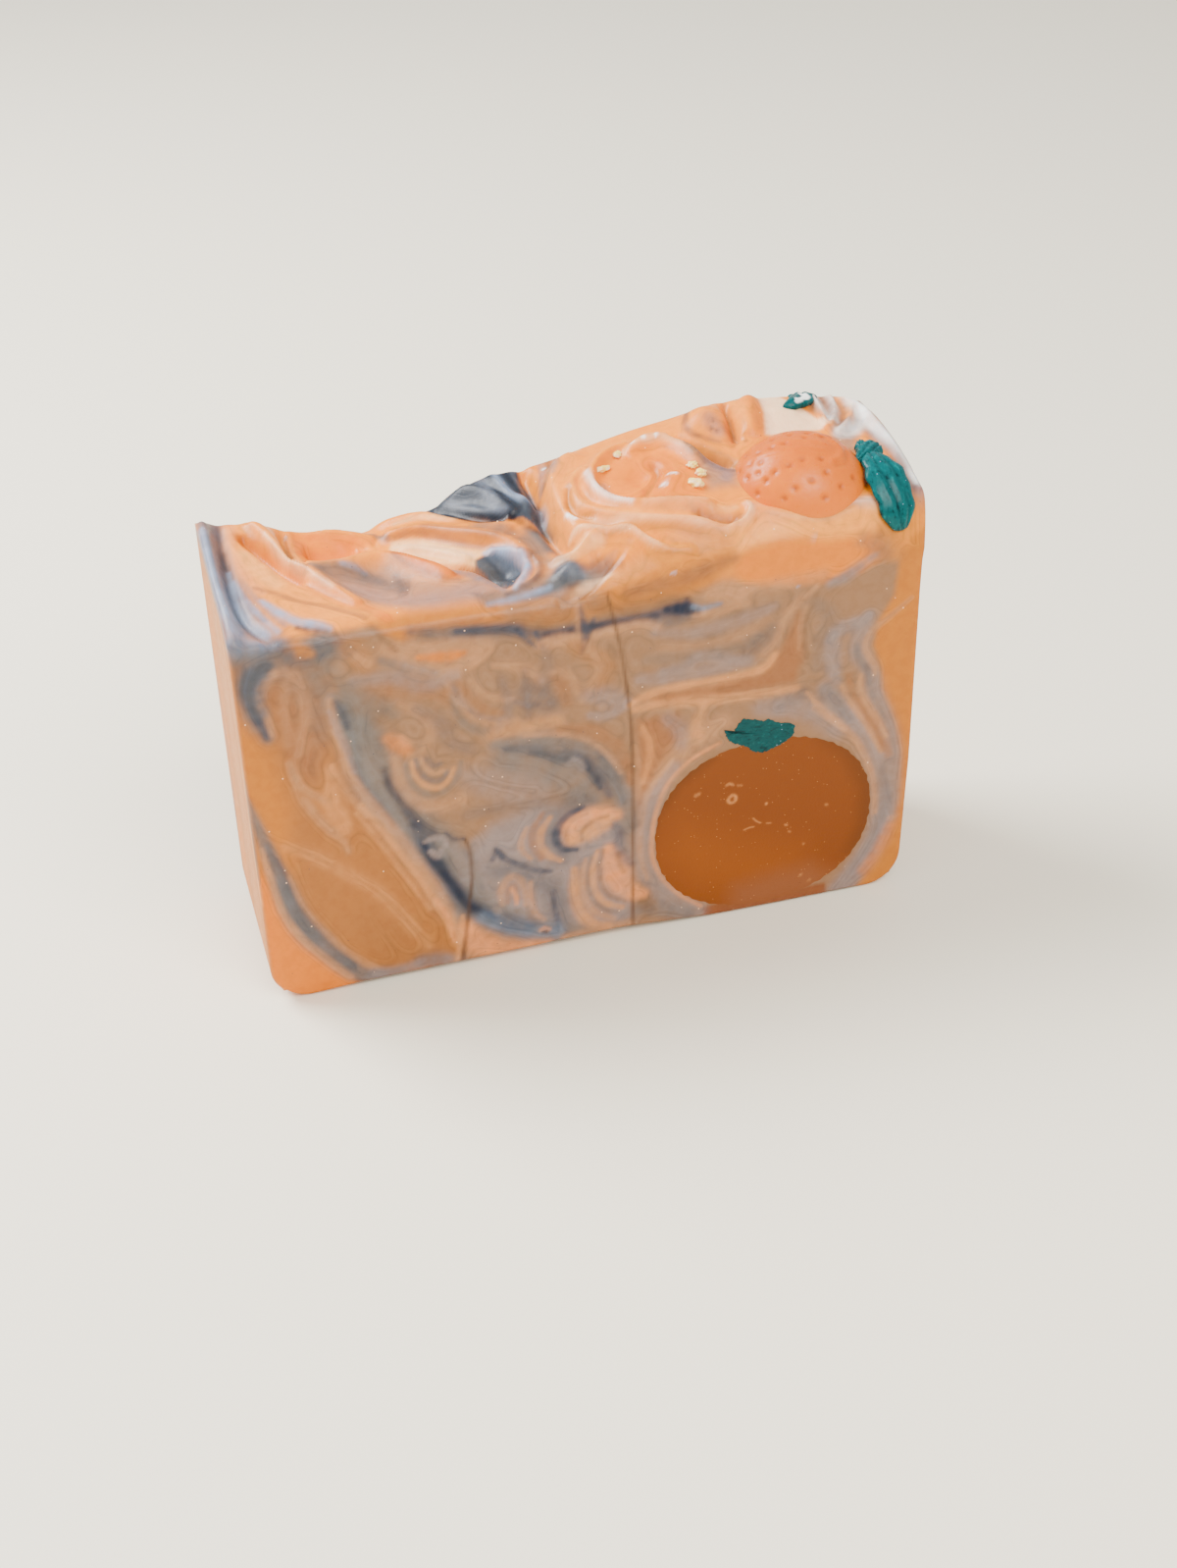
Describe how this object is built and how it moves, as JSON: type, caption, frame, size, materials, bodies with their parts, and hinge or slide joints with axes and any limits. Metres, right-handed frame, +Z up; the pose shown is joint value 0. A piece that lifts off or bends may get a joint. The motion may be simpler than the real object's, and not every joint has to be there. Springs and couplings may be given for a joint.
{
  "type": "bar of handmade soap",
  "caption": "Upright bar of swirled soap with a sculpted top, an embedded orange round with its leaf, and a small moulded orange with leaves.",
  "frame": {"origin": "middle of the flat base the bar stands on", "axes": "+X along the bar towards the mound, +Y from the front cut face to the back cut face, +Z up"},
  "size_m": [0.089, 0.0254, 0.0653],
  "materials": {
    "swirled_soap": "waxy orange, tan and blue-grey swirled soap with a slight gloss",
    "deep_orange_soap": "smooth burnt-orange soap, cut flush",
    "orange_peel_soap": "moulded orange soap with pitted peel, satin",
    "green_soap": "dark green moulded soap, glossy"
  },
  "bodies": {
    "root": {"soap_bar": "swirled_soap", "orange_round": "deep_orange_soap", "round_leaf": "green_soap", "small_orange": "orange_peel_soap", "front_leaf": "green_soap", "back_leaf": "green_soap"}
  },
  "joints": []
}
